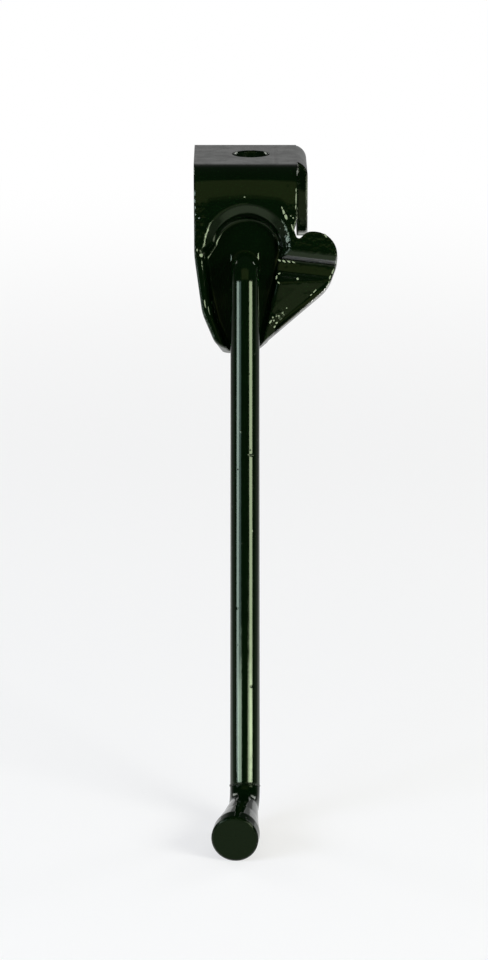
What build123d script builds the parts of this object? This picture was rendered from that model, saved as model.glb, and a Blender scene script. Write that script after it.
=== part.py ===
"""Side stand of a small bicycle: a pressed bracket that bolts under the chainstays and a sprung leg.

Millimetres. +X points to the bicycle's rear, +Y to its right-hand side, +Z up, so the leg leans
out towards -Y. The origin is the centre of the frame bolt's hole, on the top flange's upper face.
Plate coordinates (u, v, w) start at the pivot: u runs rearwards, v up the pivot plate and w
outwards along the pivot's axis, with w = 0 on the plate's front face.
"""

import os
from math import acos, atan, cos, degrees, pi, radians, sin, tan

from build123d import *

# ---------------------------------------------------------------- driving dimensions
plate_t = 3.0             # pressed sheet
splay = 27.0              # degrees that the pivot plate and the leg lean out from vertical

# top flange and its two side cheeks
flange_w = 31.6
flange_front = 11.5       # from the bolt's centre forward to where the cheeks start
flange_back = 14.0        # from the bolt's centre back to the flange's rear edge
cheek_h = 21.5            # how far the cheeks hang down, outside height
cheek_bend_r = 4.0        # outside radius of the cheek bends
cheek_corner_r = 3.0      # rounding of the cheeks' lower corners
bolt_hole_r = 5.25        # clearance hole for the frame bolt

# pivot plate
corner_y = 19.0           # from the bolt's centre forward to the sharp corner of flange and plate
plate_bend_r = 8.0        # outside radius of the bend between flange and plate
pivot_drop = 27.0         # from that sharp corner down the plate to the pivot
face_w = 29.0             # width of the plate above the pivot
face_shift = -1.65        # the plate and the pivot stand this far forward of the bolt
tip_v = -24.0             # lower tip of the plate
wing_reach = 10.8         # how far the wing that holds the folded leg stands out past the plate
wing_top = 8.55           # top of the wing's lobe
wing_low = -6.4           # where the wing's rear edge meets its slanted lower edge

# recesses pressed into the plate
dish_r = 11.8             # arched upper end of the dish
dish_shift = 0.6          # the arch's centre behind the pivot
dish_rise = 4.5           # and above it
dish_ease = 1.4           # how far inside the arch the trough's right rim meets it
dish_depth = 5.0
arch_bevel = 2.1          # width and depth of the slanted band inside the arch
band_end = 25.0           # degrees above level, seen from the arch's centre, where that band starts to narrow
trough_tip_depth = 4.2    # the trough that takes the lowered leg is shallower at the plate's tip
trough_tip_half = 4.6     # half its width there
trough_left = [(-11.9, 3.0), (-10.4, -9.0), (-8.8, -15.5)]      # u and v where its left rim turns
land_side = (8.7, -6.5)   # and where its right rim turns, beside the land
wall_draft = 14.0         # degrees, slope of the pressed walls
wall_t = 2.2              # the pressed walls are thinner than the sheet
rise_start = 6.5          # the trough's floor starts to rise this far below the pivot
rim_r = 1.1               # rounding of the recesses' rims
floor_r = 1.0             # rounding at the foot of their walls

# groove that takes the folded leg: a steep upper wall, a flat floor and a slanted lower wall
groove_depth = 3.7
groove_bevel = 1.3        # width and depth of the slanted band along its upper rim
groove_top = 4.8          # from the folded leg's centre line up to the groove's rim
groove_foot = 0.6         # from that line down to where the lower wall starts
groove_slope = 32.0       # degrees of the lower wall from the plate
groove_foot_r = 2.5       # rounding at the foot of the lower wall

# land between trough and groove, over which the leg swings
land_gap = 0.35           # between the swinging leg and the land's crest
land_peak = (8.2, -6.5)   # u and v of its highest point, beside the trough
land_turn = 41.0          # degrees of the plate's slanted edge from level
land_fall = 12.0          # degrees that the land falls towards that edge
land_edge_r = 0.8         # rounding of the land's edges along trough and groove

# leg
rod_r = 3.95
leg_bend_r = 7.0          # centre line of the bend at the pivot
leg_stand_off = 3.1       # the leg's axis in front of the plate's face
leg_len = 144.0           # from the pivot's axis to the foot's mouth
fold_angle = 83.0         # swing from lowered to folded

# flared foot
foot_bend_r = 7.5         # centre line of the foot's bend
foot_len = 21.0           # from the bend's end to the end face
foot_turn = 6.0           # degrees that the foot points forward of straight out
foot_r = 6.1
foot_waist = (0.45, 5.0)  # share of the length, and the radius there
foot_rim = 4.2            # width of the foot's cylindrical rim
foot_edge = 0.5           # bevel of its end
spigot_r = 2.6            # rod's end inside the foot
spigot_len = 4.0
spigot_gap = 0.02         # radial clearance of the spigot in the foot
spigot_end_gap = 0.3      # the foot's hole is this much deeper than the spigot

# spring assembly behind the plate
pivot_gap = 0.05          # radial running clearance of the rod in the plate
face_gap = 0.05           # axial clearance between plate, washers and spring
washer_t = 1.5
washer_r = 8.2
wire_r = 1.0
wire_sides = 8            # the round wire and its coil are drawn with straight sides, to keep them light
spring_r = 6.0            # mean radius of the coil
spring_pitch = 4.2
spring_turns = 3          # rising turns, between a flat half turn at each end
spring_pieces = 16        # straight pieces in a turn
neck_r = 3.0              # riveted neck of the rod, behind the spring
head_r = 4.6
head_t = 2.2
head_round_r = 1.7        # the riveted head's dome
washer_play = 0.2         # radial play of the inner washer on the rod
neck_play = 0.02          # radial play of the end washer on the riveted neck

# ---------------------------------------------------------------- worked out from those
tilt = radians(splay)
pivot = Vector(face_shift, -corner_y - pivot_drop * sin(tilt), -pivot_drop * cos(tilt))
plate = Plane(origin=pivot, x_dir=(1, 0, 0), z_dir=(0, -cos(tilt), sin(tilt)))
land_depth = rod_r - leg_stand_off + land_gap
bore_r = rod_r + pivot_gap
back_w = -dish_depth - plate_t                    # back of the dish's floor
spring_len = spring_turns * spring_pitch + 2 * wire_r
spring_w = back_w - washer_t - 2 * face_gap       # front end of the spring
rivet_w = spring_w - spring_len - face_gap        # rod's shoulder, front face of the end washer
far = 60.0                                        # past every edge of the plate
edge_over = 2.0                                   # cutters run this far past the sheet
tiny = 1e-3                                       # two points this close are the same
upward = (Align.CENTER, Align.CENTER, Align.MIN)
downward = (Align.CENTER, Align.CENTER, Align.MAX)

# foot bend: from the leg's direction to the foot's
leg_dir = plate.y_dir * -1
foot_dir = Vector(-sin(radians(foot_turn)), -cos(radians(foot_turn)), 0)
foot_angle = acos(leg_dir.dot(foot_dir))
bend_side = leg_dir.cross(foot_dir).normalized()  # square to the plane of the foot bend
bend_in = bend_side.cross(leg_dir)                # from the mouth to the bend's centre


def at(u, v, w=0.0):
    """A point given in plate coordinates."""
    return plate.from_local_coords(Vector(u, v, w))


# ---------------------------------------------------------------- bracket
def plate_outline():
    """The pivot plate's edge: straight sides, a rounded tip and the rear wing with its lobe."""
    half = face_w / 2
    wing = half + wing_reach
    toe = wing - 2.4 - (wing_low - tip_v) / tan(radians(land_turn))
    corners = [
        (-half, far, 0), (-half + 0.6, 2.0, 20), (-half + 2.8, -14.0, 14), (-half + 7.0, tip_v, 5),
        (toe, tip_v, 3), (wing - 2.4, wing_low, 10), (wing + 0.1, wing_low + 7.0, 5),
        (wing - 0.5, wing_top + 0.1, 6.5), (wing - 8.3, wing_top, 3),
        (half, wing_top - 2.6, 0.8), (half - 1.1, wing_top + 0.6, 1.5), (half, wing_top + 4.2, 6),
        (half, far, 0),
    ]
    face = make_face(Polyline(*[(u, v) for u, v, _ in corners], close=True))
    for u, v, radius in corners:
        if radius:
            corner = face.vertices().sort_by_distance((u, v, 0))[0]
            face = fillet(corner, radius)
    return face


def wall_plane(start, end, out):
    """Plane of a pressed wall whose rim runs from start to end, moved outwards by out."""
    outward = (at(*end) - at(*start)).cross(plate.z_dir).normalized()
    normal = outward * cos(radians(wall_draft)) - plate.z_dir * sin(radians(wall_draft))
    return Plane(origin=at(*start) + normal * out, z_dir=normal)


def round_floor(form, radius):
    """The pressed form with the rim of its floor rounded."""
    floors = [f for f in form.faces() if f.normal_at().dot(plate.z_dir) < -0.9]
    edges = [e for f in floors for e in f.edges()]
    rim = [e for e in edges if sum(g.is_same(e) for g in edges) == 1]
    return fillet(rim, radius)


def dish_form(back):
    """Dish and trough, or the bulge that they leave on the plate's back."""
    out = wall_t if back else 0
    depth = dish_depth + (plate_t if back else 0)
    draft = tan(radians(wall_draft))
    low_r = dish_r - arch_bevel
    r = low_r + arch_bevel * draft + out / cos(radians(wall_draft))
    centre = Pos(dish_shift, dish_rise)
    arch = plate * centre * Cone(r - depth * draft, r, depth, align=downward)
    reach_u = low_r * cos(radians(band_end))
    reach_v = dish_rise + low_r * sin(radians(band_end))
    left = [(dish_shift - reach_u, reach_v)] + trough_left + [(-trough_tip_half, tip_v - edge_over)]
    right = [(trough_tip_half, tip_v - edge_over), land_side, (dish_shift + dish_r - dish_ease, dish_rise)]
    right += [(dish_shift + reach_u, reach_v)]
    trough = plate * Box(far, 2 * far, depth, align=downward)
    for start, end in zip(left + right, left[1:] + right + left[:1]):
        trough = split(trough, bisect_by=wall_plane(start, end, out), keep=Keep.BOTTOM)
    climb = degrees(atan((dish_depth - trough_tip_depth) / (-tip_v - rise_start)))
    floor = Plane(plate * Pos(0, -rise_start, -depth) * Rot(-climb, 0, 0))
    trough = split(trough, bisect_by=floor, keep=Keep.TOP)
    if back:
        return arch + trough
    band = plate * centre * Cone(low_r, dish_r, arch_bevel, align=downward)
    return round_floor(arch, floor_r) + round_floor(trough, floor_r) + band


def groove_form(back):
    """The groove for the folded leg along its folded direction, or its bulge on the back."""
    wall = groove_bevel + (groove_depth - groove_bevel) * tan(radians(wall_draft))
    slope = groove_depth / tan(radians(groove_slope))
    corners = [
        (groove_top, 0), (groove_top - groove_bevel, -groove_bevel), (groove_top - wall, -groove_depth),
        (-groove_foot, -groove_depth), (-groove_foot - slope, 0)]
    profile = make_face(Polyline(*corners, close=True))
    if back:
        below_face = Pos(0, -far / 2) * Rectangle(2 * far, far)
        profile = offset(profile, plate_t, kind=Kind.INTERSECTION) & below_face
    heel, foot = profile.vertices().group_by(Axis.Y)[0].sort_by(Axis.X)
    profile = fillet(heel, groove_foot_r)
    profile = fillet(profile.vertices().sort_by_distance(foot.center())[0], floor_r)
    turn = radians(fold_angle - 90)
    along = plate.x_dir * cos(turn) + plate.y_dir * sin(turn)
    end = Plane(origin=pivot, x_dir=plate.z_dir.cross(along), z_dir=along)
    return extrude(end * profile, amount=far)


def land_plane(back):
    """The sloping face of the land, or the back of its sheet."""
    along = plate.x_dir * cos(radians(land_turn)) + plate.y_dir * sin(radians(land_turn))
    peak = at(*land_peak, -land_depth - (plate_t if back else 0))
    return Plane(Plane(origin=peak, x_dir=along, z_dir=plate.z_dir) * Rot(land_fall, 0, 0))


def land_form(back):
    """What lies in front of the land, between trough, groove and the plate's slanted edge."""
    drop = radians(fold_angle - 90)
    edge = [(0, 0), (far * cos(drop), far * sin(drop)), (far, -far), (0, -far)]
    column = extrude(plate * make_face(Polyline(*edge, close=True)), amount=-far)
    return column & land_plane(back) * Box(4 * far, 4 * far, far, align=upward)


def side_profile():
    """The sheet seen from the side: flange, bend and plate, long enough for the outline to trim."""
    run = pivot_drop - tip_v + 2 * edge_over
    corner = (-corner_y, 0)
    tip = (-corner_y - run * sin(tilt), -run * cos(tilt))
    inner_corner = (-corner_y + plate_t * (1 - sin(tilt)) / cos(tilt), -plate_t)
    inner_tip = (tip[0] + plate_t * cos(tilt), tip[1] - plate_t * sin(tilt))
    outer = FilletPolyline((flange_back, 0), corner, tip, radius=plate_bend_r)
    inner = FilletPolyline((flange_back, -plate_t), inner_corner, inner_tip, radius=plate_bend_r - plate_t)
    return make_face(outer + inner + [Line(outer @ 0, inner @ 0), Line(outer @ 1, inner @ 1)])


def channel():
    """The flange's full width with the cheeks bent down from it."""
    outside = Pos(0, -cheek_h / 2) * Rectangle(flange_w, cheek_h)
    outside = fillet(outside.vertices().group_by(Axis.Y)[-1], cheek_bend_r)
    inside = Pos(0, -plate_t - far / 2) * Rectangle(flange_w - 2 * plate_t, far)
    inside = fillet(inside.vertices().group_by(Axis.Y)[-1], cheek_bend_r - plate_t)
    section = Plane(origin=(0, -flange_front, 0), x_dir=(1, 0, 0), z_dir=(0, -1, 0))
    shape = extrude(section * (outside - inside), amount=-flange_front - flange_back)
    lower = shape.edges().filter_by(Axis.X).group_by(Axis.Z)[0]
    return fillet(lower, cheek_corner_r)


def edges_in(shape, plane, trimmed):
    """The shape's edges that lie in a plane, apart from those along the trimmed outline."""
    def flat(edge):
        return all(abs(plane.to_local_coords(edge @ t).Z) < tiny for t in (0, 0.5, 1))

    inner = [e for e in shape.edges() if flat(e)]
    return [e for e in inner if min(f.distance_to(e @ 0.5) for f in trimmed.faces()) > tiny]


def bracket():
    """Pressed steel bracket: top flange, cheeks and the recessed pivot plate, one sheet."""
    side_plane = Plane(origin=(0, 0, 0), x_dir=(0, 1, 0), z_dir=(1, 0, 0))
    sheet = extrude(side_plane * side_profile(), amount=far, both=True)
    reach = extrude(plate.offset(-far) * plate_outline(), amount=2 * far)
    shape = sheet & reach
    for form in (dish_form, groove_form, land_form):
        shape += reach & form(back=True)
    for form in (dish_form, groove_form, land_form):
        shape -= form(back=False)
    below_bend = pivot_drop - plate_bend_r
    rims = [e for e in edges_in(shape, plate, reach) if plate.to_local_coords(e @ 0.5).Y < below_bend]
    shape = fillet(rims, rim_r)
    shape = fillet(edges_in(shape, land_plane(back=False), reach), land_edge_r)
    shape += channel()
    shape -= Cylinder(bolt_hole_r, 4 * plate_t)
    shape -= plate * Cylinder(bore_r, 4 * far)
    return shape


# ---------------------------------------------------------------- leg and foot
def leg():
    """Bent round rod: riveted head and neck, pivot length, leg, and the spigot in the foot."""
    path = FilletPolyline(
        at(0, 0, rivet_w), at(0, 0, leg_stand_off), at(0, -leg_len, leg_stand_off), radius=leg_bend_r)
    rod = sweep(Plane(origin=at(0, 0, rivet_w), z_dir=plate.z_dir) * Circle(rod_r), path=path)
    mouth = Plane(origin=at(0, -leg_len, leg_stand_off), z_dir=leg_dir)
    spigot = mouth * Cylinder(spigot_r, spigot_len, align=upward)
    neck = plate.offset(rivet_w - washer_t) * Cylinder(neck_r, washer_t, align=upward)
    dome = Cylinder(head_r, head_t, align=upward)
    dome = fillet(dome.edges().group_by(Axis.Z)[0], head_round_r)
    head = plate.offset(rivet_w - washer_t - head_t) * dome
    return rod + spigot + neck + head


def foot():
    """Foot on the rod's spigot: a bend as thick as the rod, then a flare with a short straight rim."""
    mouth = Plane(origin=at(0, -leg_len, leg_stand_off), x_dir=bend_in, z_dir=leg_dir)
    centre = Axis(mouth.origin + bend_in * foot_bend_r, bend_side)
    bend = revolve(mouth * Circle(rod_r), axis=centre, revolution_arc=degrees(foot_angle))
    turned = bend_in * (1 - cos(foot_angle)) + leg_dir * sin(foot_angle)
    waist, waist_r = foot_waist
    outline = [
        (0, 0), (rod_r, 0), (waist_r, waist * foot_len), (foot_r, foot_len - foot_rim),
        (foot_r, foot_len - foot_edge), (foot_r - foot_edge, foot_len), (0, foot_len),
    ]
    neck = mouth.origin + turned * foot_bend_r
    section = Plane(origin=neck, x_dir=bend_side, z_dir=bend_side.cross(foot_dir))
    flare = revolve(section * make_face(Polyline(*outline, close=True)), axis=Axis(neck, foot_dir))
    return bend + flare - mouth * Cylinder(spigot_r + spigot_gap, spigot_len + spigot_end_gap, align=upward)


# ---------------------------------------------------------------- spring and washers
def washer(front_w, hole_r):
    """A plain washer on the pivot's axis whose front face is at front_w."""
    ring = Cylinder(washer_r, washer_t) - Cylinder(hole_r, 2 * washer_t)
    return plate.offset(front_w - washer_t / 2) * ring


def spring():
    """Compression spring in short straight pieces: a flat half turn at each end, the rest rising."""
    points = []
    for step in range(round((spring_turns + 1) * spring_pieces) + 1):
        turned = step / spring_pieces
        climbed = min(max(turned - 0.5, 0), spring_turns)
        angle = 2 * pi * turned
        points.append((spring_r * cos(angle), spring_r * sin(angle), wire_r + spring_pitch * climbed))
    path = Polyline(*points)
    section = Plane(origin=path @ 0, z_dir=path % 0) * RegularPolygon(wire_r, wire_sides)
    return plate.offset(spring_w - spring_len) * sweep(section, path=path, transition=Transition.RIGHT)


parts = {
    "bracket": bracket(),
    "inner_washer": washer(back_w - face_gap, bore_r + washer_play),
    "leg": leg(),
    "foot": foot(),
    "spring": spring(),
    "end_washer": washer(rivet_w, neck_r + neck_play),
}

os.makedirs("parts", exist_ok=True)
for name, shape in parts.items():
    print(name, shape.is_valid, len(shape.solids()), round(shape.volume, 1))
    export_step(shape, f"parts/{name}.step")
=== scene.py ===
"""Looks of the bicycle side stand: gloss black paint with its runs and beads, zinc plated washers,
a coil of spring wire, and a white studio whose softboxes show along the rod."""

import random
from math import cos, pi, radians, sin

import bmesh
import bpy
from mathutils import Matrix, Vector

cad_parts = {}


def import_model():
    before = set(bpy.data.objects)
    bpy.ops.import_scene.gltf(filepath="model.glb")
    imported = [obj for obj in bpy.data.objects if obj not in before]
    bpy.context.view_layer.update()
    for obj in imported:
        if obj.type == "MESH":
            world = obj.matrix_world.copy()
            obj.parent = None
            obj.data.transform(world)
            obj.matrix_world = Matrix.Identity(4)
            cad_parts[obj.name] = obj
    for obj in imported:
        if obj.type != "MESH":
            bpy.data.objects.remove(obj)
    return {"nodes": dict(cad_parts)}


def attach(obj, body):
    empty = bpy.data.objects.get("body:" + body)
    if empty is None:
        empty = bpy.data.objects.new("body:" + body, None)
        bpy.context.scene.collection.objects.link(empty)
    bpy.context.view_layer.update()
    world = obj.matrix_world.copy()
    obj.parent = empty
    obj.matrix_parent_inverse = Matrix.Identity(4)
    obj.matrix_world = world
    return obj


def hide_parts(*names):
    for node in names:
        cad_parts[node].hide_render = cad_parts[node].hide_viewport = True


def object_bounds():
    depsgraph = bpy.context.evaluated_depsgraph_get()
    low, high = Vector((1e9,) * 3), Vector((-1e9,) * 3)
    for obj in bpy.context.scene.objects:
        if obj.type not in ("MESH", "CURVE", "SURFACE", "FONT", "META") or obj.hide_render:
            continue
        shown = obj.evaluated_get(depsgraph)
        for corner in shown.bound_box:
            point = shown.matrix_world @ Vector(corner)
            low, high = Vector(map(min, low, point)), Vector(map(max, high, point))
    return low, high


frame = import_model()
cad_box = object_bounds()
nodes = frame["nodes"]

MM = 0.001
SPLAY = radians(27.0)          # lean of the pivot plate and the leg
PIVOT = Vector((-1.65, -31.2577, -24.0572)) * MM
PLATE_U = Vector((1, 0, 0))
PLATE_V = Vector((0, sin(SPLAY), cos(SPLAY)))
PLATE_W = Vector((0, -cos(SPLAY), sin(SPLAY)))
FOOT_DIR = Vector((-sin(radians(6.0)), -cos(radians(6.0)), 0))
RIVET_W = -24.25               # mm, the rod's shoulder behind the spring
LEG_LEN = 144.0                # mm, from the pivot to the foot's mouth
LEG_OFF = 3.1                  # mm, the leg's axis in front of the plate
ROD_R = 3.95                   # mm
CAMERA_PLACE = Vector((-1.91, -946.8, 176.3)) * MM
CAMERA_PITCH = 16.0            # degrees below level
CAMERA_LENS = 128.1            # mm, on a 36 mm sensor


def at(u, v, w):
    """A point given in plate coordinates, in millimetres."""
    return PIVOT + (PLATE_U * u + PLATE_V * v + PLATE_W * w) * MM


# ---------------------------------------------------------------- camera
def camera():
    """A long lens, looking down at the stand from straight outside the bicycle."""
    data = bpy.data.cameras.new("camera")
    data.lens = CAMERA_LENS
    data.sensor_width = 36.0
    data.clip_start = 0.05
    cam = bpy.data.objects.new("camera", data)
    cam.location = CAMERA_PLACE
    cam.rotation_euler = (radians(90 - CAMERA_PITCH), 0, 0)
    bpy.context.scene.collection.objects.link(cam)
    bpy.context.scene.camera = cam


camera()


# ---------------------------------------------------------------- node helpers
class Tree:
    """A material's nodes, made and linked in one call each."""

    def __init__(self, name):
        self.mat = bpy.data.materials.new(name)
        self.mat.use_nodes = True
        self.nodes = self.mat.node_tree.nodes
        self.links = self.mat.node_tree.links
        self.shader = self.nodes["Principled BSDF"]

    def put(self, socket, value):
        if isinstance(value, bpy.types.NodeSocket):
            self.links.new(value, socket)
        elif value is not None:
            socket.default_value = value

    def add(self, kind, inputs=(), **settings):
        node = self.nodes.new("ShaderNode" + kind)
        for key, value in settings.items():
            setattr(node, key, value)
        for key, value in dict(inputs).items():
            self.put(node.inputs[key], value)
        return node

    def math(self, operation, *values):
        node = self.add("Math", operation=operation)
        for socket, value in zip(node.inputs, values):
            self.put(socket, value)
        return node.outputs[0]

    def ramp(self, value, low, high, out_low=0.0, out_high=1.0):
        """value from low to high gives out_low to out_high, smoothly and held at the ends."""
        node = self.add("MapRange", interpolation_type="SMOOTHSTEP")
        for key, v in (("Value", value), ("From Min", low), ("From Max", high),
                       ("To Min", out_low), ("To Max", out_high)):
            self.put(node.inputs[key], v)
        return node.outputs[0]

    def noise(self, vector, size, detail=2.0, rough=0.5):
        """Noise with lumps about size millimetres across."""
        node = self.add("TexNoise", {
            "Vector": vector, "Scale": 1 / (size * MM), "Detail": detail, "Roughness": rough})
        return node.outputs["Fac"]

    def mix(self, factor, a, b):
        node = self.add("Mix", data_type="RGBA")
        self.put(node.inputs[0], factor)
        self.put(node.inputs[6], a)
        self.put(node.inputs[7], b)
        return node.outputs[2]

    def plate_place(self):
        """Position in plate coordinates, metres: x is u, y is minus w, z is v."""
        place = self.add("TexCoord").outputs["Object"]
        turn = {"Vector": place, "Location": PIVOT, "Rotation": (-SPLAY, 0, 0)}
        return self.add("Mapping", turn, vector_type="TEXTURE").outputs[0]

    def bump(self, height, distance, normal=None, strength=1.0):
        return self.add("Bump", {
            "Height": height, "Distance": distance, "Strength": strength, "Normal": normal}).outputs[0]


# ---------------------------------------------------------------- materials
PAINT = (0.0007, 0.0040, 0.0007, 1)
PAINT_TINT = (0.82, 1.0, 0.66, 1)
# Bare steel, which also draws a painted highlight line along the bracket's lower right edge.
STEEL = (0.42, 0.42, 0.41, 1)
EDGE_OUT = PLATE_U * 0.661 - PLATE_V * 0.752   # out of the plate's lower right edge
SATIN = (0.0012, 0.0056, 0.0006, 1)            # the foot's worn end face
SATIN_ROUGH, STEEL_ROUGH = 0.42, 0.36
EDGE_ROUND = 0.9                               # mm, paint's radius over the plate's edges
WAVE_SIZE, WAVE_RISE = 7.0, 0.050              # mm, size across and height of each form in the paint
PEEL_SIZE, PEEL_RISE = 1.4, 0.0035
CLOT_SIZE, CLOT_RISE = 2.1, 0.55
NIB_RISE = 0.05


def darker(colour, share):
    """The colour times share, opaque."""
    return tuple(c * share for c in colour[:3]) + (1,)


def paint(name, forms=None, lumps=1.0, grit_size=5.5, gloss=0.34, rounding=EDGE_ROUND,
          satin=None, bare_or_highlight=None):
    """Thick gloss black paint: waves, orange peel, dust nibs and lumps that gather along the edges.

    forms(tree, place) adds a height in metres, satin(tree, place) is 1 where the paint is dull, and
    bare_or_highlight(tree, place, rounded normal, flat normal) is 1 where the steel shows, either as
    real bare steel or as a painted highlight drawn in bare steel. lumps scales the waves
    and clots, grit_size is the distance between nibs and rounding the edges' radius, both in mm.
    """
    t = Tree(name)
    place = t.plate_place()
    flat = t.add("NewGeometry").outputs["Normal"]
    round_edge = t.add("Bevel", {"Radius": rounding * MM}, samples=8).outputs[0]
    wide = t.add("Bevel", {"Radius": 1.4 * rounding * MM}, samples=6).outputs[0]
    facing = t.add("VectorMath", {0: wide, 1: flat}, operation="DOT_PRODUCT").outputs["Value"]
    edge = t.ramp(facing, 0.995, 0.86)
    waves = t.noise(place, WAVE_SIZE, 1.0)
    peel = t.noise(place, PEEL_SIZE, 2.0)
    clots = t.noise(place, CLOT_SIZE, 3.0, 0.6)
    grit = t.add("TexVoronoi", {"Vector": place, "Scale": 1 / (grit_size * MM), "Randomness": 1.0})
    nib = t.ramp(grit.outputs["Distance"], 0.075, 0.02)
    height = t.math("MULTIPLY", waves, WAVE_RISE * MM * lumps)
    height = t.math("MULTIPLY_ADD", peel, PEEL_RISE * MM, height)
    height = t.math("MULTIPLY_ADD", nib, NIB_RISE * MM, height)
    clot = t.math("MULTIPLY", edge, t.math("MULTIPLY", clots, CLOT_RISE * MM * lumps))
    height = t.math("ADD", height, clot)
    if forms:
        height = t.math("ADD", height, forms(t, place))
    normal = t.bump(height, 1.0, round_edge)
    shade = t.noise(place, 16.0, 3.0)
    colour = t.mix(shade, darker(PAINT, 0.7), darker(PAINT, 1.45))
    rough = t.ramp(t.noise(place, 4.0, 4.0, 0.65), 0.3, 0.75, 0.055, 0.12)
    if satin:
        dull = satin(t, place)
        rough = t.math("MAXIMUM", rough, t.math("MULTIPLY", dull, SATIN_ROUGH))
        colour = t.mix(dull, colour, SATIN)
    # Bare steel: real on the rod's riveted end, and a painted highlight line on the bracket's edge.
    if bare_or_highlight:
        shown = bare_or_highlight(t, place, round_edge, flat)
        colour = t.mix(shown, colour, STEEL)
        rough = t.math("MAXIMUM", rough, t.math("MULTIPLY", shown, STEEL_ROUGH))
        t.put(t.shader.inputs["Metallic"], shown)
    t.put(t.shader.inputs["Base Color"], colour)
    t.put(t.shader.inputs["Roughness"], rough)
    t.put(t.shader.inputs["Normal"], normal)
    t.shader.inputs["IOR"].default_value = 1.5
    t.shader.inputs["Specular IOR Level"].default_value = gloss
    t.shader.inputs["Specular Tint"].default_value = PAINT_TINT
    return t.mat


def axes(t, place):
    xyz = t.add("SeparateXYZ", {0: place})
    return xyz.outputs[0], xyz.outputs[1], xyz.outputs[2]


CROWN_V = 16.9                 # mm, where the plate starts to lean back under its bend
CROWN_ARCH, CROWN_CURVE = -9.0, -14.0          # per metre: the start's arch, and the lean's curvature
BAND_DEPTH, BAND_EASE = 2.1, 0.22              # mm deep, and how far the 45 degree bands are turned up
GROOVE_DROP, GROOVE_LEAN = 0.123, -0.14        # the groove's slope across, and its floor's lean


def plate_forms(t, place):
    """The plate leans back softly below its bend, its bands are eased, and its paint is lumpy."""
    u, back, v = axes(t, place)
    arch = t.math("MULTIPLY", t.math("MULTIPLY", u, u), CROWN_ARCH)
    past = t.math("MAXIMUM", t.math("SUBTRACT", t.math("SUBTRACT", v, arch), CROWN_V * MM), 0.0)
    height = t.math("MULTIPLY", t.math("MULTIPLY", past, past), CROWN_CURVE)
    depth = t.math("MINIMUM", t.math("MAXIMUM", back, 0.0), BAND_DEPTH * MM)
    height = t.math("MULTIPLY_ADD", depth, BAND_EASE, height)
    groove = t.math("MULTIPLY", t.ramp(u, 8.0 * MM, 9.5 * MM), t.ramp(back, 2.9 * MM, 3.5 * MM))
    across = t.math("MULTIPLY_ADD", u, GROOVE_DROP, v)
    height = t.math("MULTIPLY_ADD", t.math("MULTIPLY", across, GROOVE_LEAN), groove, height)
    lumps = t.noise(place, 1.6, 2.0, 0.5)
    for where, rise in ((spot(t, place, 8.6, -16.2, -2.0, (5.0, 4.5, 4.0)), 0.30),
                        (spot(t, place, 17.5, -9.5, -2.0, (6.0, 2.6, 4.0)), 0.16),
                        (spot(t, place, 14.0, -4.5, -2.5, (9.0, 2.6, 4.0)), 0.20)):
        height = t.math("MULTIPLY_ADD", t.math("MULTIPLY", lumps, where), rise * MM, height)
    sides = t.ramp(t.math("ABSOLUTE", u), 9.2 * MM, 11.8 * MM)
    ends = t.math("MULTIPLY", t.ramp(v, 19 * MM, 14 * MM), t.ramp(v, -3 * MM, 1 * MM))
    sides = t.math("MULTIPLY", sides, ends)
    return t.math("MULTIPLY_ADD", t.math("MULTIPLY", lumps, sides), 0.22 * MM, height)


def painted_edge_highlight(t, place, rounded, flat):
    """A painted highlight: a thin line of bare steel along the plate's lower right edge, standing in
    for the light on the paint's rounded edge.
    """
    u, _, _ = axes(t, place)
    turned = t.add("VectorMath", {0: rounded, 1: EDGE_OUT}, operation="DOT_PRODUCT").outputs["Value"]
    front = t.add("VectorMath", {0: flat, 1: PLATE_W}, operation="DOT_PRODUCT").outputs["Value"]
    line = t.math("MULTIPLY", t.ramp(turned, 0.52, 0.74), t.ramp(front, 0.10, 0.30))
    return t.math("MULTIPLY", line, t.ramp(u, 4.0 * MM, 5.5 * MM))


def spot(t, place, u, v, w, size):
    """1 at a point of the plate's frame, falling to 0 over size (u, v and w in millimetres)."""
    away = t.add("VectorMath", {0: place, 1: Vector((u, -w, v)) * MM}, operation="SUBTRACT").outputs[0]
    shrink = Vector((1 / size[0], 1 / size[2], 1 / size[1])) / MM
    scaled = t.add("VectorMath", {0: away, 1: shrink}, operation="MULTIPLY").outputs[0]
    far = t.add("VectorMath", {0: scaled}, operation="LENGTH").outputs["Value"]
    return t.ramp(far, 1.0, 0.0)


def leg_marks(t, place):
    """A nick and a few specks in the leg's paint, and a lumpy patch on its bend."""
    height = t.math("MULTIPLY", spot(t, place, 1.9, -55.4, 6.6, (1.5, 0.45, 1.5)), -0.10 * MM)
    for u, v, w, size, rise in ((-1.0, -48.9, 6.9, 0.5, 0.05), (2.2, -76.0, 6.4, 0.4, 0.03),
                                (-2.0, -97.0, 6.5, 0.4, 0.03), (1.7, -118.0, 6.6, 0.5, 0.04)):
        height = t.math("MULTIPLY_ADD", spot(t, place, u, v, w, (size, size, 1.2)), rise * MM, height)
    patch = spot(t, place, -0.8, 0.5, 4.0, (4.0, 6.5, 6.0))
    lumps = t.math("MULTIPLY", t.noise(place, 2.4, 3.0, 0.6), patch)
    return t.math("MULTIPLY_ADD", lumps, 0.22 * MM, height)


def rivet_end(t, place, _rounded, _flat):
    """The rod's riveted end behind the spring, where the paint was struck off."""
    _, back, _ = axes(t, place)
    ragged = t.math("MULTIPLY_ADD", t.noise(place, 1.6, 3.0), 0.9 * MM, back)
    return t.ramp(ragged, (-RIVET_W + 1.9) * MM, (-RIVET_W + 2.3) * MM)


FOOT_END = max(v.co.dot(FOOT_DIR) for v in nodes["foot"].data.vertices)


def foot_face(t, _place):
    """The foot's end face, dull from standing on the ground."""
    place = t.add("TexCoord").outputs["Object"]
    along = t.add("VectorMath", {0: place, 1: FOOT_DIR}, operation="DOT_PRODUCT").outputs["Value"]
    return t.ramp(along, FOOT_END - 0.12 * MM, FOOT_END - 0.04 * MM)


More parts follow.
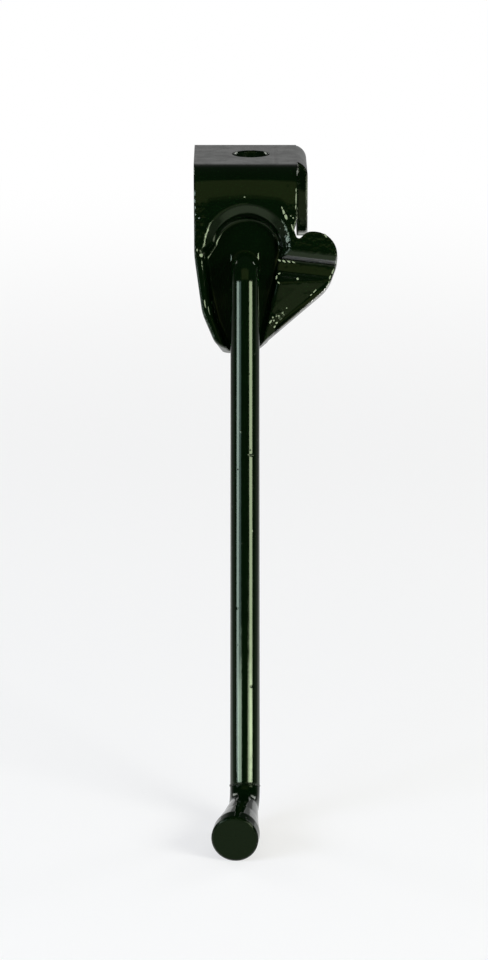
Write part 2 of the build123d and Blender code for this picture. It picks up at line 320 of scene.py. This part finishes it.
def foot_marks(t, place):
    """Lumps where the paint gathered in the bend above the foot."""
    patch = spot(t, place, -0.5, -151.0, 5.0, (9.0, 8.0, 9.0))
    lumps = t.math("MULTIPLY", t.noise(place, 2.6, 3.0, 0.6), patch)
    scratch = t.math("MULTIPLY", t.noise(place, 0.6, 4.0, 0.7), foot_face(t, place))
    return t.math("MULTIPLY_ADD", scratch, 0.04 * MM, t.math("MULTIPLY", lumps, 0.16 * MM))


def metal(name, colour, dark, rough, grain, tarnish):
    """Plated or bright steel: fine grain, cloudy tarnish, softened edges."""
    t = Tree(name)
    place = t.plate_place()
    stretched = t.add("Mapping", {"Vector": place, "Scale": (1.0, 0.25, 1.0)}).outputs[0]
    fine = t.noise(stretched, grain, 3.0, 0.6)
    cloud = t.noise(place, tarnish, 4.0, 0.6)
    t.put(t.shader.inputs["Base Color"], t.mix(t.ramp(cloud, 0.35, 0.7), colour, dark))
    t.put(t.shader.inputs["Roughness"], t.ramp(cloud, 0.3, 0.7, rough, rough + 0.16))
    t.shader.inputs["Metallic"].default_value = 1.0
    edge = t.add("Bevel", {"Radius": 0.3 * MM}, samples=6).outputs[0]
    t.put(t.shader.inputs["Normal"], t.bump(fine, 0.012 * MM, edge))
    return t.mat


# The bracket's bare-steel line along its lower right edge is a painted highlight.
bracket_paint = paint("bracket_paint", forms=plate_forms, bare_or_highlight=painted_edge_highlight)
bead_paint = paint("bead_paint", lumps=0.0, rounding=0.02)
leg_paint = paint("leg_paint", forms=leg_marks, lumps=0.35, grit_size=3.4, bare_or_highlight=rivet_end)
foot_paint = paint("foot_paint", forms=foot_marks, lumps=0.6, gloss=0.15, satin=foot_face)
zinc = metal("zinc", (0.60, 0.61, 0.62, 1), (0.42, 0.42, 0.40, 1), 0.26, 0.35, 3.0)
spring_steel = metal("spring_steel", (0.34, 0.33, 0.32, 1), (0.20, 0.185, 0.165, 1), 0.28, 0.5, 2.5)

FINISH = {
    "bracket": bracket_paint, "leg": leg_paint, "foot": foot_paint,
    "inner_washer": zinc, "end_washer": zinc, "spring": spring_steel,
}
for name, o in nodes.items():
    o.data.materials.clear()
    o.data.materials.append(FINISH[name])


# ---------------------------------------------------------------- pieces
def new_piece(name, bm, material, body):
    """A smooth mesh piece that rides on a body."""
    bmesh.ops.recalc_face_normals(bm, faces=bm.faces)
    mesh = bpy.data.meshes.new(name)
    bm.to_mesh(mesh)
    bm.free()
    for face in mesh.polygons:
        face.use_smooth = True
    mesh.materials.append(material)
    piece = bpy.data.objects.new(name, mesh)
    bpy.context.scene.collection.objects.link(piece)
    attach(piece, body)
    return piece


def tube(bm, points, radii, sides, closed=False):
    """A round tube along the points, with its own radius at each of them."""
    rings = []
    count = len(points)
    side = None
    for i, p in enumerate(points):
        before = points[i - 1] if i or closed else p
        after = points[(i + 1) % count] if i + 1 < count or closed else p
        ahead = (after - before).normalized()
        side = ahead.orthogonal() if side is None else side - ahead * side.dot(ahead)
        side.normalize()
        other = ahead.cross(side)
        angles = [2 * pi * k / sides for k in range(sides)]
        rings.append([bm.verts.new(p + (side * cos(a) + other * sin(a)) * radii[i]) for a in angles])
    pairs = list(zip(rings, rings[1:])) + ([(rings[-1], rings[0])] if closed else [])
    for a, b in pairs:
        for k in range(sides):
            bm.faces.new((a[k], a[(k + 1) % sides], b[(k + 1) % sides], b[k]))
    if not closed:
        for ring in (rings[0], rings[-1]):
            bm.faces.new(ring)


def coil():
    """The compression spring, round wire with a closed half turn at each end."""
    wire, mean, pitch, turns = 1.0, 6.0, 4.2, 3
    base = -24.2               # w of the coil's rear end
    steps = 56                 # points in a turn
    points = []
    for i in range((turns + 1) * steps + 1):
        turned = i / steps
        climbed = min(max(turned - 0.5, 0), turns)
        angle = 2 * pi * turned
        points.append(at(mean * cos(angle), mean * sin(angle), base + wire + pitch * climbed))
    bm = bmesh.new()
    tube(bm, points, [wire * MM] * len(points), 14)
    piece = new_piece("coil", bm, spring_steel, "swing_leg")
    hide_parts("spring")


coil()


BEAD_RISE = 0.5                # how far a bead's middle stands out, as a share of its half width
BEAD_CROWN, BEAD_ROOT = 0.06, 1.2              # thickness above and below it, as shares of the same
BEAD_BULGE = 0.15


def beads():
    """Beads and runs of paint on the bracket, each flat turned between camera and softbox."""
    rng = random.Random(7)
    bracket = nodes["bracket"]
    right, left = Vector((0.467, -0.801, 0.375)), Vector((-0.486, -0.787, 0.380))
    runs = [  # u and v of the middle, half length, half width, direction in u and v, flat
        (-11.9, 1.95, 0.66, 0.60, (1, 0), right), (-13.1, 3.3, 0.40, 0.22, (0, 1), right),
        (-10.8, -11.9, 1.2, 0.30, (1.0, -3.6), right), (-9.7, -13.9, 1.2, 0.28, (1.0, -3.6), right),
        (10.3, 15.1, 0.6, 0.24, (1.6, -3.6), right), (10.8, 13.9, 1.0, 0.44, (1.6, -3.6), right),
        (11.35, 12.7, 0.9, 0.58, (1.6, -3.6), right), (13.15, 9.6, 1.0, 0.30, (1, -2.2), right),
        (13.3, 12.4, 0.30, 0.28, (1, 0), right), (12.6, 13.0, 0.24, 0.20, (1, 0), right),
        (14.1, 20.3, 0.6, 0.20, (0, 1), right), (14.1, 17.9, 1.7, 0.24, (0, 1), right),
        (14.0, 15.6, 0.7, 0.22, (0.1, 1), right), (-13.8, 19.6, 0.9, 0.20, (0, 1), left),
        (-13.8, 17.4, 0.7, 0.20, (0, 1), left), (-13.7, 15.4, 0.5, 0.20, (0, 1), left),
        (-13.6, 13.4, 0.30, 0.22, (0, 1), left), (-12.6, 12.4, 0.34, 0.26, (1, 0), left),
        (-0.1, 18.35, 0.30, 0.22, (1, 0), right), (9.8, 1.3, 0.7, 0.42, (1, -0.1), right),
        (11.0, 1.15, 0.8, 0.44, (1, -0.1), right), (12.3, 1.0, 0.8, 0.40, (1, -0.1), right),
        (13.5, 0.85, 0.6, 0.32, (1, -0.1), right),
        (9.5, -2.5, 0.50, 0.26, (1, 0.4), right), (8.7, -4.0, 0.75, 0.30, (0.1, 1), right),
        (9.3, -5.6, 0.50, 0.24, (1, -0.5), right), (14.55, -4.2, 0.48, 0.40, (1, 0), right),
        (24.3, -1.7, 0.9, 0.34, (0.9, 1.6), right), (23.5, -3.4, 0.7, 0.36, (0.7, 1.6), right),
        (23.1, -5.0, 0.30, 0.22, (0.5, 1), right), (22.2, 7.3, 0.8, 0.26, (1, -0.7), right),
        (19.3, -7.5, 0.9, 0.26, (2, 1.7), right), (18.2, -8.6, 0.5, 0.22, (2, 1.7), right),
        (7.1, -16.3, 0.70, 0.32, (1, 1), right), (7.7, -15.1, 0.34, 0.24, (1, 0), right),
        (8.8, -16.5, 0.50, 0.30, (1, 0.4), right), (8.2, -17.6, 0.50, 0.28, (1, 0.8), right),
        (9.3, -14.6, 0.40, 0.24, (1, 0), right), (10.4, -13.8, 0.34, 0.22, (1, 0.5), right),
        (11.5, -12.4, 0.28, 0.20, (1, 0.5), right), (8.0, -15.9, 0.30, 0.28, (1, 0), right),
        (-3.84, 2.3, 1.2, 0.22, (0, 1), left), (3.7, 2.6, 1.3, 0.22, (0, 1), right),
    ]
    bm = bmesh.new()
    for u, v, long, wide, (du, dv), flat in runs:
        hit, place, _, _ = bracket.ray_cast(at(u, v, 30.0), -PLATE_W)
        if not hit:
            continue
        along = PLATE_U * du + PLATE_V * dv
        x = (along - flat * along.dot(flat)).normalized()
        turn = Matrix((x, flat.cross(x), flat)).transposed().to_4x4()
        place = place + PLATE_W * (BEAD_RISE * wide * MM)
        lump = Vector((rng.uniform(-1, 1), rng.uniform(-1, 1), 0)).normalized()
        for vert in bmesh.ops.create_icosphere(bm, subdivisions=4, radius=1)["verts"]:
            bulge = 1 + BEAD_BULGE * max(0, vert.co.dot(lump))
            thick = (BEAD_CROWN if vert.co.z > 0 else BEAD_ROOT) * wide
            stretch = Matrix.Diagonal((long * MM, wide * MM, thick * MM, 1))
            vert.co = place + turn @ stretch @ (vert.co * bulge)
    new_piece("paint_beads", bm, bead_paint, "mounting")


beads()


def mouth_ring():
    """The ridge of paint around the joint between leg and foot."""
    rng = random.Random(11)
    count = 72
    phases = [(rng.uniform(0, 2 * pi), rng.uniform(0.3, 1.0)) for _ in range(5)]
    points, radii = [], []
    for i in range(count):
        a = 2 * pi * i / count
        ripple = sum(size * sin(k * a + p) for k, (p, size) in enumerate(phases, start=2))
        down = -LEG_LEN + 0.10 * ripple
        points.append(at(ROD_R * cos(a), down, LEG_OFF + ROD_R * sin(a)))
        radii.append((0.17 + 0.018 * ripple) * MM)
    bm = bmesh.new()
    tube(bm, points, radii, 8, closed=True)
    new_piece("foot_joint", bm, leg_paint, "swing_leg")


mouth_ring()


# ---------------------------------------------------------------- studio
AIM = Vector((0, -0.06, -0.09))
FLOOR_SIZE = 12.0              # m
FLOOR_WHITE = (0.86, 0.86, 0.86, 1)


def softbox(name, azimuth, elevation, distance, size, glow, colour=(1, 1, 1), roll=0.0, glossy=True):
    """A rectangular lamp seen from the stand at azimuth and elevation, glow being its radiance."""
    data = bpy.data.lights.new(name, "AREA")
    data.shape = "RECTANGLE"
    data.size, data.size_y = size
    data.energy = glow * pi * size[0] * size[1]
    data.color = colour
    lamp = bpy.data.objects.new(name, data)
    a, e = radians(azimuth), radians(elevation)
    out = Vector((sin(a) * cos(e), -cos(a) * cos(e), sin(e)))
    lamp.location = AIM + out * distance
    turn = out.to_track_quat("Z", "Y").to_matrix() @ Matrix.Rotation(radians(roll), 3, "Z")
    lamp.rotation_euler = turn.to_euler()
    lamp.visible_camera = False
    lamp.visible_glossy = glossy
    bpy.context.scene.collection.objects.link(lamp)


# The strips show along both sides of the rod, brighter in their low parts, near the foot.
softbox("strip_right", 54, 28, 1.4, (0.57, 0.37), 14, (1.0, 1.0, 0.93), roll=-20)
softbox("strip_right_low", 45, 23.5, 1.35, (0.86, 0.12), 12, (1.0, 1.0, 0.96), roll=-20)
softbox("strip_left", -65, 23.5, 1.4, (0.47, 0.37), 11, (0.90, 0.97, 1.25), roll=20)
softbox("strip_left_soft", -46, 30, 1.4, (0.32, 0.37), 2.6, (0.72, 0.95, 1.30), roll=20)
softbox("strip_left_low", -45, 23.5, 1.35, (0.70, 0.12), 10, (0.92, 0.98, 1.10), roll=20)
# The ceiling shows in the band under the plate's bend, the low card in the land.
softbox("ceiling", 0, 64, 1.7, (1.5, 0.72), 0.22, (1.0, 1.0, 0.50))
softbox("ceiling_edge", 0, 64, 1.75, (1.8, 0.94), 0.12, (1.0, 1.0, 0.50))
softbox("low_card", 18, 19, 1.3, (0.80, 0.48), 0.42, (1.0, 1.0, 0.75))
# These light the floor and the stand's back and sides.
softbox("overhead", 0, 90, 3.0, (4.0, 4.0), 0.6, glossy=False)
softbox("back_left", -135, 22, 1.8, (0.4, 0.9), 6)
softbox("back_right", 135, 22, 1.8, (0.4, 0.9), 6)


def floor():
    """A white floor, plain to the camera, that keeps the stand's shadow and darkens in reflections."""
    bpy.ops.mesh.primitive_plane_add(size=FLOOR_SIZE, location=(0, 0, cad_box[0][2]))
    ground = bpy.context.object
    ground.name = "floor"
    t = Tree("floor")
    t.nodes.remove(t.shader)
    matt = t.add("BsdfDiffuse", {"Color": FLOOR_WHITE})
    glow = t.add("Emission", {"Color": (1, 1, 1, 1), "Strength": 1.0})
    place = t.add("TexCoord").outputs["Object"]
    far = t.add("VectorMath", {0: place}, operation="LENGTH").outputs["Value"]
    share = t.ramp(far, 0.2, 0.8, 0.6, 1.0)
    rays = t.add("LightPath")
    pool = t.ramp(far, 0.28, 0.75, 1.0, 0.30)
    t.put(glow.inputs["Strength"], t.math("MAXIMUM", pool, rays.outputs["Is Camera Ray"]))
    seen = t.math("MAXIMUM", rays.outputs["Is Camera Ray"], rays.outputs["Is Glossy Ray"])
    seen = t.math("MAXIMUM", seen, rays.outputs["Is Transmission Ray"])
    plain = t.math("MULTIPLY", share, seen)
    both = t.add("MixShader", {0: plain, 1: matt.outputs[0], 2: glow.outputs[0]})
    t.links.new(both.outputs[0], t.nodes["Material Output"].inputs["Surface"])
    ground.data.materials.append(t.mat)


floor()


def world():
    """White to the camera, and in reflections a grey horizon under a dark ceiling."""
    sky = bpy.data.worlds.new("studio")
    sky.use_nodes = True
    tree = sky.node_tree
    place = tree.nodes.new("ShaderNodeTexCoord")
    split = tree.nodes.new("ShaderNodeSeparateXYZ")
    tree.links.new(place.outputs["Generated"], split.inputs[0])
    fade = tree.nodes.new("ShaderNodeMapRange")
    fade.interpolation_type = "SMOOTHSTEP"
    tree.links.new(split.outputs["Z"], fade.inputs["Value"])
    for key, value in (("From Min", sin(radians(2))), ("From Max", sin(radians(18))),
                       ("To Min", 0.30), ("To Max", 0.035)):
        fade.inputs[key].default_value = value
    rays = tree.nodes.new("ShaderNodeLightPath")
    either = tree.nodes.new("ShaderNodeMath")
    either.operation = "MAXIMUM"
    tree.links.new(fade.outputs[0], either.inputs[0])
    tree.links.new(rays.outputs["Is Camera Ray"], either.inputs[1])
    ground = tree.nodes["Background"]
    ground.inputs["Color"].default_value = (1, 1, 1, 1)
    tree.links.new(either.outputs[0], ground.inputs["Strength"])
    bpy.context.scene.world = sky


world()
bpy.context.scene.view_settings.view_transform = "Standard"
